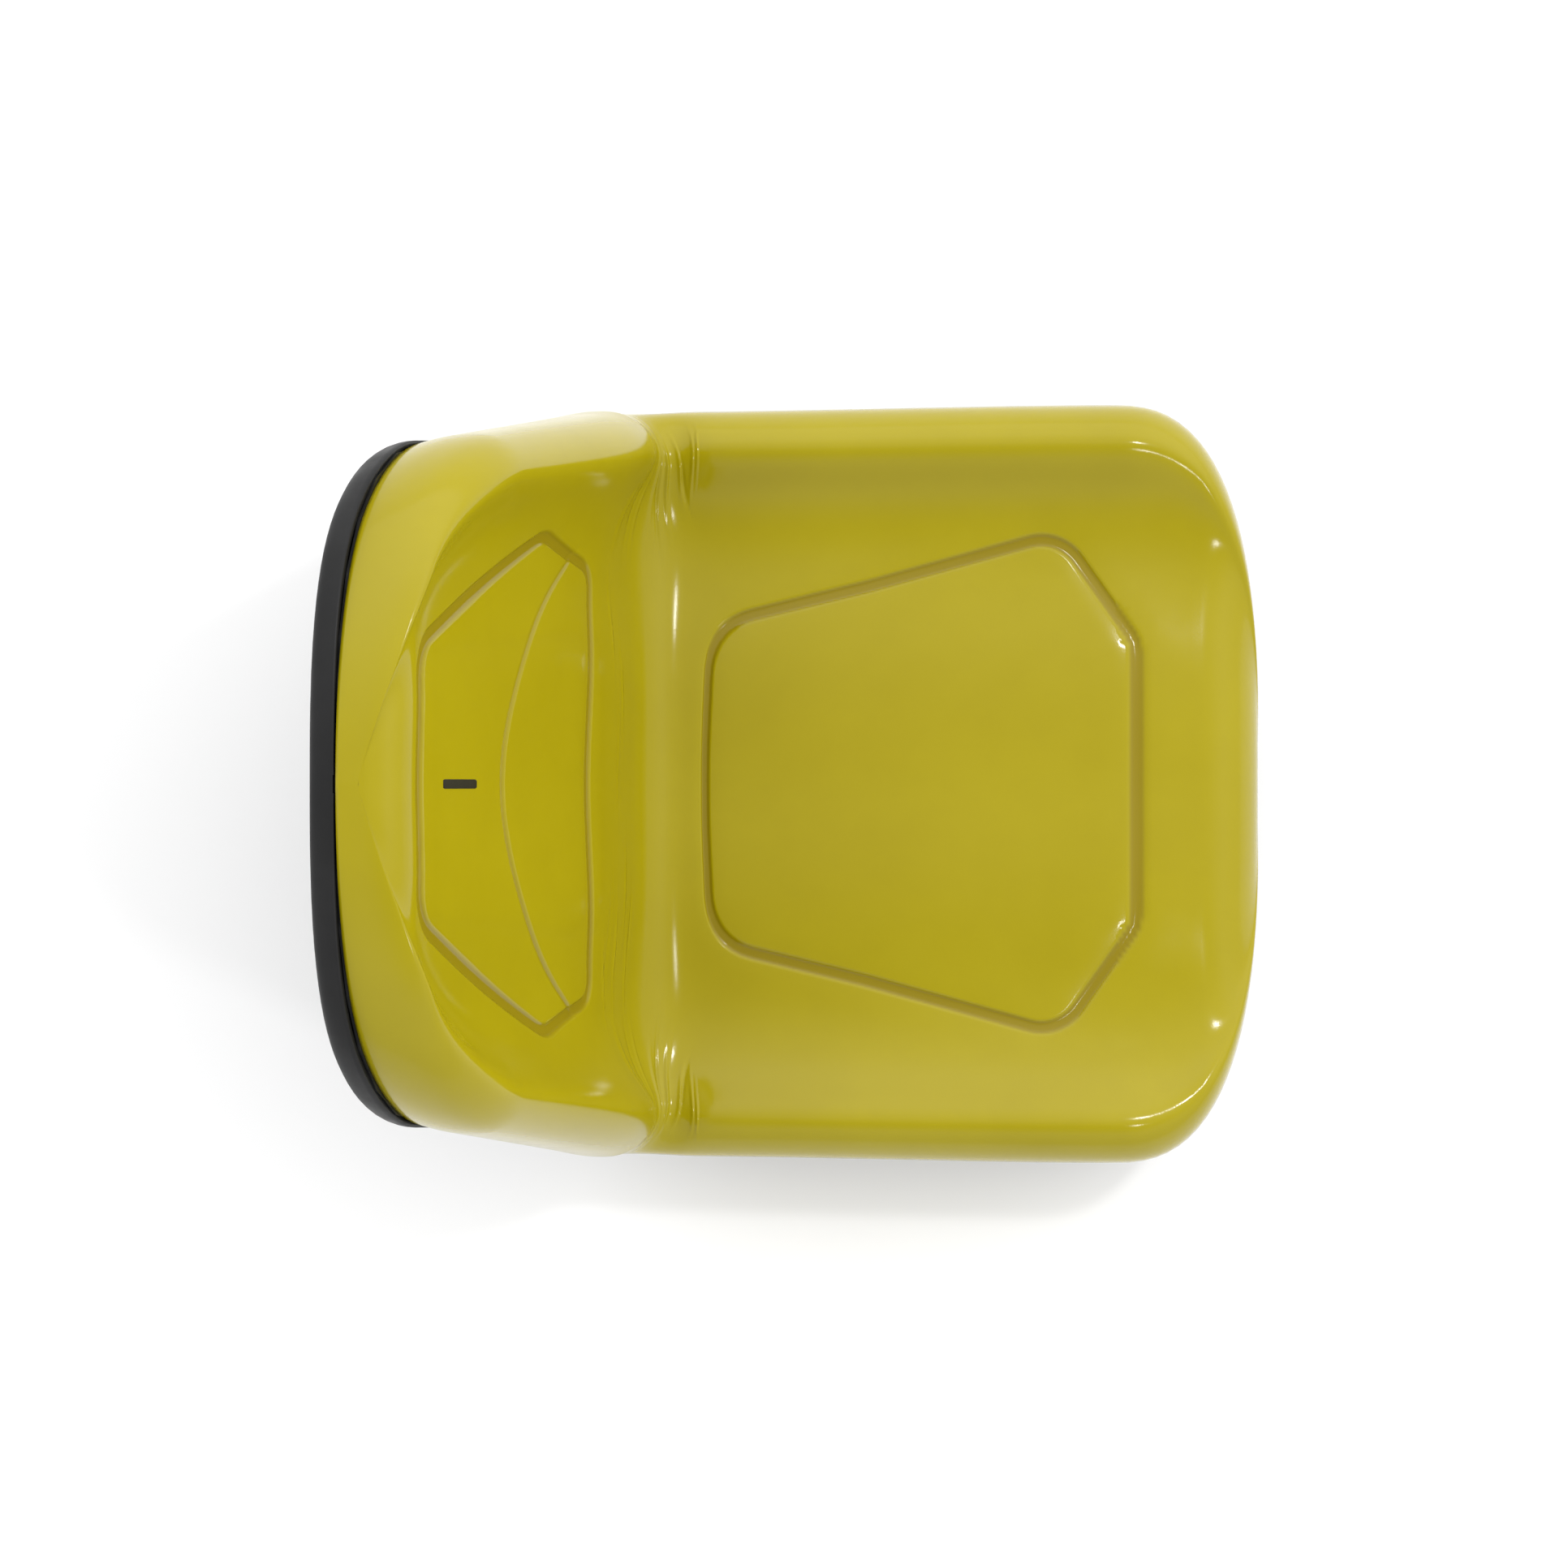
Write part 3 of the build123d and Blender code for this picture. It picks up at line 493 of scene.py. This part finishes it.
def shell_width(s, inset):
    front = closing(s - inset, FRONT_CORNER, 2.4, 3.0)
    top = closing(TOTAL - s - inset, TOP_CORNER, 3.2, 2.8)
    return np.maximum((side_line(s) - inset) * front * top - shell_inset(s), 0.5)


def to_outline(s, y, inset):
    """About how far in from the shell's outline a point is."""
    share = np.clip(np.abs(y) / (side_line(s) - inset - shell_inset(s)), 0, 1)
    from_front = s - inset - FRONT_CORNER * (1 - (1 - share ** 3.0) ** (1 / 2.4))
    from_top = TOTAL - s - inset - TOP_CORNER * (1 - (1 - share ** 2.8) ** (1 / 3.2))
    from_end = np.maximum(np.minimum(from_front, from_top), 0.0)
    from_side = np.maximum(shell_width(s, inset) - np.abs(y), 0.0)
    return from_end * from_side / np.maximum(np.hypot(from_end, from_side), 1e-6)


def shell_point(s, t, inset):
    """The shell's skin: a rounded tray under the parting line; t runs across it from -1 to 1."""
    y = t * shell_width(s, inset)
    edge = mix(SHELL_ROUND, 7.0, smooth(s, TOTAL - 260, TOTAL - 60))
    share = np.clip(1 - to_outline(s, y, inset) / edge, 0, 1)
    depth = (1 - share ** 2.3) ** (1 / 2.3)
    low = -(SHELL_DEPTH - inset)
    n = SHELL_RIM + (low - SHELL_RIM) * depth
    return y, n + shell_relief(s, y) * smooth(depth, 0.9, 1.0)


def make_shell():
    """Moulded tray: outer and inner skins joined round the rim, with its bolt bosses."""
    t_cols = SHELL_COLS
    grid = bmesh.new()
    skins = []
    for inset in (0.0, SHELL_WALL):
        s, t = np.meshgrid(rows_along(inset, 150), t_cols, indexing="ij")
        y, n = shell_point(s, t, inset)
        skins.append([[grid.verts.new(p) for p in row] for row in place(s, y, n) * MM])
    outer, inner = skins
    hole = Vector((SWITCH_X * MM, 0, 0))
    for skin in skins:
        for i in range(len(outer) - 1):
            for j in range(len(t_cols) - 1):
                quad = (skin[i][j], skin[i + 1][j], skin[i + 1][j + 1], skin[i][j + 1])
                middle = sum((v.co for v in quad), Vector()) / 4
                if middle.z < 0.08 and (middle.xy - hole.xy).length < 0.0185:
                    continue
                grid.faces.new(quad)
    for i in range(len(outer) - 1):
        for j in (0, -1):
            grid.faces.new((outer[i][j], outer[i + 1][j], inner[i + 1][j], inner[i][j]))
    for skin in skins:
        cap(grid, skin[0])
        cap(grid, skin[-1])
    bmesh.ops.remove_doubles(grid, verts=grid.verts, dist=1e-6)
    bmesh.ops.recalc_face_normals(grid, faces=grid.faces)
    low, high = PART_Z - SHELL_DEPTH, PART_Z - SHELL_DEPTH + SHELL_WALL
    collar = [(16.8, low - 1.6), (19.6, low - 1.6), (20.6, low - 0.6), (20.6, high + 0.5), (16.8, high + 0.5)]
    ring(grid, (SWITCH_X, 0), collar)
    boss = [(7.1, RAIL_TOP), (12.4, RAIL_TOP), (13, RAIL_TOP + 0.8), (13.4, low - 4), (15, low - 1.2),
            (18.5, low + 0.3), (7.1, low + 0.3)]
    for x in (-BOLT_X, BOLT_X):
        for y in (-RAIL_Y, RAIL_Y):
            ring(grid, (x, y), boss)
    return from_bmesh("back_shell_moulding", grid)


def ring(grid, centre, profile, steps=48):
    """A turned piece on an upright axis, from its closed profile of (radius, height)."""
    loops = []
    for k in range(steps):
        turn = 2 * math.pi * k / steps
        c, d = math.cos(turn), math.sin(turn)
        points = [(centre[0] + r * c, centre[1] + r * d, z) for r, z in profile]
        loops.append([grid.verts.new((x * MM, y * MM, z * MM)) for x, y, z in points])
    for k in range(steps):
        a, b = loops[k], loops[(k + 1) % steps]
        for j in range(len(profile)):
            i = (j + 1) % len(profile)
            grid.faces.new((a[j], b[j], b[i], a[i]))


TAG_ENDS = 770.0, 814.0
TAG_HALF = 2.7


def make_tag():
    """Blank strip that lies on the backrest's middle, following its surface."""
    rows = np.linspace(*TAG_ENDS, 24)
    grid = bmesh.new()
    rings = []
    for s in rows:
        inner = 0.5 if s in (rows[0], rows[-1]) else 0.0
        _, n = cover_point(np.array(s), np.array(0.0))
        half = TAG_HALF - inner
        lift = [(-half, -0.5), (-half, 0.3), (-half + 0.5, 0.55), (half - 0.5, 0.55), (half, 0.3), (half, -0.5)]
        rings.append([grid.verts.new(place(np.array(s), y, n + h) * MM) for y, h in lift])
    for a, b in zip(rings[:-1], rings[1:]):
        for j in range(len(a)):
            i = (j + 1) % len(a)
            grid.faces.new((a[j], b[j], b[i], a[i]))
    grid.faces.new(rings[0])
    grid.faces.new(rings[-1])
    bmesh.ops.recalc_face_normals(grid, faces=grid.faces)
    return from_bmesh("back_tag", grid)


# ---------------------------------------------------------------- materials
class Nodes:
    """A small helper for building a material's nodes."""

    def __init__(self, name):
        self.material = bpy.data.materials.new(name)
        self.material.use_nodes = True
        self.tree = self.material.node_tree
        self.tree.nodes.clear()
        self.shader = self.add("ShaderNodeBsdfPrincipled")
        out = self.add("ShaderNodeOutputMaterial")
        self.join(self.shader.outputs[0], out.inputs["Surface"])
        where = self.add("ShaderNodeTexCoord")
        self.place = where.outputs["Object"]

    def add(self, kind, **inputs):
        node = self.tree.nodes.new(kind)
        for key, value in inputs.items():
            node.inputs[key].default_value = value
        return node

    def join(self, output, socket):
        self.tree.links.new(output, socket)

    def noise(self, scale, detail=3.0, roughness=0.55):
        node = self.add("ShaderNodeTexNoise", Scale=scale, Detail=detail, Roughness=roughness)
        self.join(self.place, node.inputs["Vector"])
        return node.outputs["Fac"]

    def ramp(self, fac, stops):
        node = self.add("ShaderNodeValToRGB")
        band = node.color_ramp
        while len(band.elements) < len(stops):
            band.elements.new(0.5)
        for element, (at, value) in zip(band.elements, stops):
            element.position = at
            element.color = value if len(value) == 4 else (*value, 1)
        self.join(fac, node.inputs["Fac"])
        return node.outputs["Color"]

    def blend(self, a, b, fac):
        node = self.add("ShaderNodeMix")
        node.data_type = "RGBA"
        for value, socket in ((a, node.inputs[6]), (b, node.inputs[7]), (fac, node.inputs[0])):
            if isinstance(value, (tuple, float, int)):
                socket.default_value = (*value, 1) if isinstance(value, tuple) else value
            else:
                self.join(value, socket)
        return node.outputs[2]

    def bump(self, height, strength, distance):
        node = self.add("ShaderNodeBump", Strength=strength, Distance=distance)
        self.join(height, node.inputs["Height"])
        self.join(node.outputs["Normal"], self.shader.inputs["Normal"])

    def set(self, **values):
        for key, value in values.items():
            self.shader.inputs[key.replace("_", " ")].default_value = value


def grey(value):
    return (value, value, value)


def vinyl():
    m = Nodes("yellow_vinyl")
    base = m.ramp(m.noise(9.0, 4.0), [(0.3, (0.296, 0.242, 0.0020)), (0.7, (0.318, 0.262, 0.0030))])
    worn = m.ramp(m.noise(60.0, 5.0, 0.7), [(0.45, grey(0.0)), (0.8, grey(1.0))])
    base = m.blend(base, (0.25, 0.20, 0.004), m.blend(grey(0.0), worn, 0.10))
    # painted shade: darker, browner vinyl on the channel floors and along the lumbar crease, from the skin's
    # "channel" layer
    channel = m.add("ShaderNodeAttribute")
    channel.attribute_name = "channel"
    base = m.blend(base, (0.228, 0.172, 0.004), channel.outputs["Fac"])
    m.join(base, m.shader.inputs["Base Color"])
    m.join(m.ramp(m.noise(35.0, 3.0), [(0.3, grey(0.11)), (0.75, grey(0.16))]), m.shader.inputs["Roughness"])
    m.set(IOR=1.34)
    grain = m.add("ShaderNodeTexVoronoi", Scale=900.0)
    m.join(m.place, grain.inputs["Vector"])
    m.bump(grain.outputs["Distance"], 0.03, 0.0004)
    return m.material


def moulded(name, colour, rough, grain_scale=1400.0, strength=0.25):
    """Injection-moulded plastic or rubber with a fine spark-eroded grain."""
    m = Nodes(name)
    lighter = tuple(min(1, c * 1.35 + 0.004) for c in colour)
    m.join(m.ramp(m.noise(14.0, 4.0), [(0.3, colour), (0.75, lighter)]), m.shader.inputs["Base Color"])
    m.join(m.ramp(m.noise(40.0), [(0.3, grey(rough - 0.05)), (0.7, grey(rough + 0.08))]),
           m.shader.inputs["Roughness"])
    m.bump(m.noise(grain_scale, 2.0), strength, 0.0002)
    m.set(IOR=1.28)
    return m.material


def metal(name, colour, rough, stretched=False):
    """Plated or ground steel with faint blotches and fine lines."""
    m = Nodes(name)
    m.set(Metallic=1.0)
    darker = tuple(c * 0.72 for c in colour)
    m.join(m.ramp(m.noise(45.0, 5.0, 0.65), [(0.3, darker), (0.7, colour)]), m.shader.inputs["Base Color"])
    m.join(m.ramp(m.noise(120.0, 4.0), [(0.3, grey(rough - 0.07)), (0.75, grey(rough + 0.12))]),
           m.shader.inputs["Roughness"])
    if stretched:
        scaled = m.add("ShaderNodeMapping")
        scaled.inputs["Scale"].default_value = (12, 1500, 1500)
        m.join(m.place, scaled.inputs["Vector"])
        lines = m.add("ShaderNodeTexNoise", Scale=1.0, Detail=2.0)
        m.join(scaled.outputs[0], lines.inputs["Vector"])
        m.bump(lines.outputs["Fac"], 0.12, 0.0002)
    else:
        m.bump(m.noise(700.0), 0.10, 0.0002)
    return m.material


def painted():
    m = Nodes("black_enamel")
    m.join(m.ramp(m.noise(30.0, 4.0), [(0.3, grey(0.012)), (0.7, grey(0.022))]), m.shader.inputs["Base Color"])
    m.join(m.ramp(m.noise(90.0), [(0.3, grey(0.28)), (0.7, grey(0.42))]), m.shader.inputs["Roughness"])
    m.bump(m.noise(260.0, 2.0), 0.12, 0.0004)
    return m.material


def foam_look():
    m = Nodes("open_cell_foam")
    cells = m.add("ShaderNodeTexVoronoi", Scale=520.0)
    m.join(m.place, cells.inputs["Vector"])
    m.join(m.ramp(cells.outputs["Distance"], [(0.1, (0.42, 0.36, 0.22)), (0.6, (0.78, 0.70, 0.50))]),
           m.shader.inputs["Base Color"])
    m.set(Roughness=0.95)
    m.bump(cells.outputs["Distance"], 0.6, 0.001)
    return m.material


LOOKS = {
    "vinyl": vinyl(),
    "foam": foam_look(),
    "tag": moulded("blank_tag", (0.010, 0.0085, 0.004), 0.6),
    "black_steel": painted(),
    "shell": moulded("shell_plastic", (0.008, 0.008, 0.0083), 0.46),
    "zinc": metal("zinc_plate", (0.46, 0.46, 0.43), 0.38),
    "rail": metal("zinc_pressings", (0.56, 0.56, 0.54), 0.38, stretched=True),
    "nylon": moulded("natural_nylon", (0.62, 0.60, 0.52), 0.42),
    "ball_steel": metal("ground_steel", (0.72, 0.72, 0.72), 0.16),
    "roller": metal("turned_steel", (0.60, 0.60, 0.60), 0.24),
    "grip": moulded("grip_rubber", (0.020, 0.020, 0.021), 0.62, 900.0, 0.4),
    "switch_plastic": moulded("switch_plastic", (0.024, 0.024, 0.026), 0.38),
}

for part in frame["record"]["subparts"]:
    node = frame["nodes"][part["node"]]
    node.data.materials.clear()
    node.data.materials.append(LOOKS[part["material_slot"]])


def dress(obj, slot, *nodes):
    """Gives a piece its material, and puts it on the seat in place of its CAD nodes."""
    obj.data.materials.append(LOOKS[slot])
    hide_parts(*nodes)
    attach(obj, "seat")
    return obj


cover = dress(make_cover(), "vinyl", "seat_cover")
foam = dress(make_foam(), "foam", "cushion_foam", "backrest_foam")
dress(make_shell(), "shell", "back_shell")
dress(make_tag(), "tag", "cover_tag")

# the switch's spring, as a piece with a mesh of its own
spring_cad = frame["nodes"]["switch_spring"]
spring_mesh = spring_cad.data.copy()
spring_mesh.transform(spring_cad.matrix_world)
spring_mesh.materials.clear()
spring = bpy.data.objects.new("switch_coil", spring_mesh)
bpy.context.collection.objects.link(spring)
dress(spring, "zinc", "switch_spring")
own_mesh(spring)


# ---------------------------------------------------------------- stage
CAMERA_X = -62.8 * MM
CAMERA_Z = 2345.0 * MM
HALF_VIEW = 0.23605      # half the picture's width over the distance
FLOOR_HALF = 90.0        # metres

floor_mesh = bpy.data.meshes.new("floor")
floor_corners = [(x * FLOOR_HALF, y * FLOOR_HALF, 0) for x, y in ((-1, -1), (1, -1), (1, 1), (-1, 1))]
floor_mesh.from_pydata(floor_corners, [], [(0, 1, 2, 3)])
floor = bpy.data.objects.new("floor", floor_mesh)
bpy.context.collection.objects.link(floor)
floor_look = Nodes("studio_floor")
floor_look.set(Roughness=0.9)
floor_look.join(floor_look.ramp(floor_look.noise(1.5), [(0.3, grey(0.90)), (0.7, grey(0.92))]),
                floor_look.shader.inputs["Base Color"])
floor_mesh.materials.append(floor_look.material)


def area_light(name, place_at, power):
    """Small soft light that points at the seat."""
    data = bpy.data.lights.new(name, "AREA")
    data.energy = power
    data.size = 0.2
    obj = bpy.data.objects.new(name, data)
    obj.location = place_at
    obj.rotation_euler = (Vector((0, 0, 0.1)) - Vector(place_at)).to_track_quat("-Z", "Y").to_euler()
    bpy.context.collection.objects.link(obj)


# the sky: a soft band above the horizon, dimmer overhead, with a wide glow at one side
world = bpy.data.worlds.new("studio")
world.use_nodes = True
sky = world.node_tree
where = sky.nodes.new("ShaderNodeTexCoord")
split = sky.nodes.new("ShaderNodeSeparateXYZ")
sky.links.new(where.outputs["Generated"], split.inputs[0])
band = sky.nodes.new("ShaderNodeValToRGB")
band.color_ramp.interpolation = "EASE"
band.color_ramp.elements.new(0.55)
for element, (at, value) in zip(band.color_ramp.elements, [(0.0, 0.62), (0.58, 0.83), (0.97, 0.31)]):
    element.position = at
    element.color = (value, value, value, 1)
sky.links.new(split.outputs["Z"], band.inputs["Fac"])
towards = sky.nodes.new("ShaderNodeVectorMath")
towards.operation = "DOT_PRODUCT"
towards.inputs[1].default_value = (0.15, 0.86, 0.48)
sky.links.new(where.outputs["Generated"], towards.inputs[0])
glow = sky.nodes.new("ShaderNodeMapRange")
glow.interpolation_type = "SMOOTHERSTEP"
for name, value in (("From Min", 0.1), ("From Max", 1.0), ("To Min", 0.0), ("To Max", 0.75)):
    glow.inputs[name].default_value = value
sky.links.new(towards.outputs["Value"], glow.inputs["Value"])
both = sky.nodes.new("ShaderNodeMath")
both.operation = "ADD"
sky.links.new(band.outputs["Color"], both.inputs[0])
sky.links.new(glow.outputs["Result"], both.inputs[1])
sky.links.new(both.outputs["Value"], sky.nodes["Background"].inputs["Color"])
sky.nodes["Background"].inputs["Strength"].default_value = 1.5
bpy.context.scene.world = world
bpy.context.scene.view_settings.view_transform = "Standard"
area_light("key", (0.9, 0.7, 2.4), 12)
area_light("key_twin", (0.9, -0.7, 2.4), 6)

camera_data = bpy.data.cameras.new("camera")
camera_data.sensor_width = 36.0
camera_data.lens = 18.0 / HALF_VIEW
camera = bpy.data.objects.new("camera", camera_data)
camera.location = (CAMERA_X, 0, CAMERA_Z)
bpy.context.collection.objects.link(camera)
bpy.context.scene.camera = camera
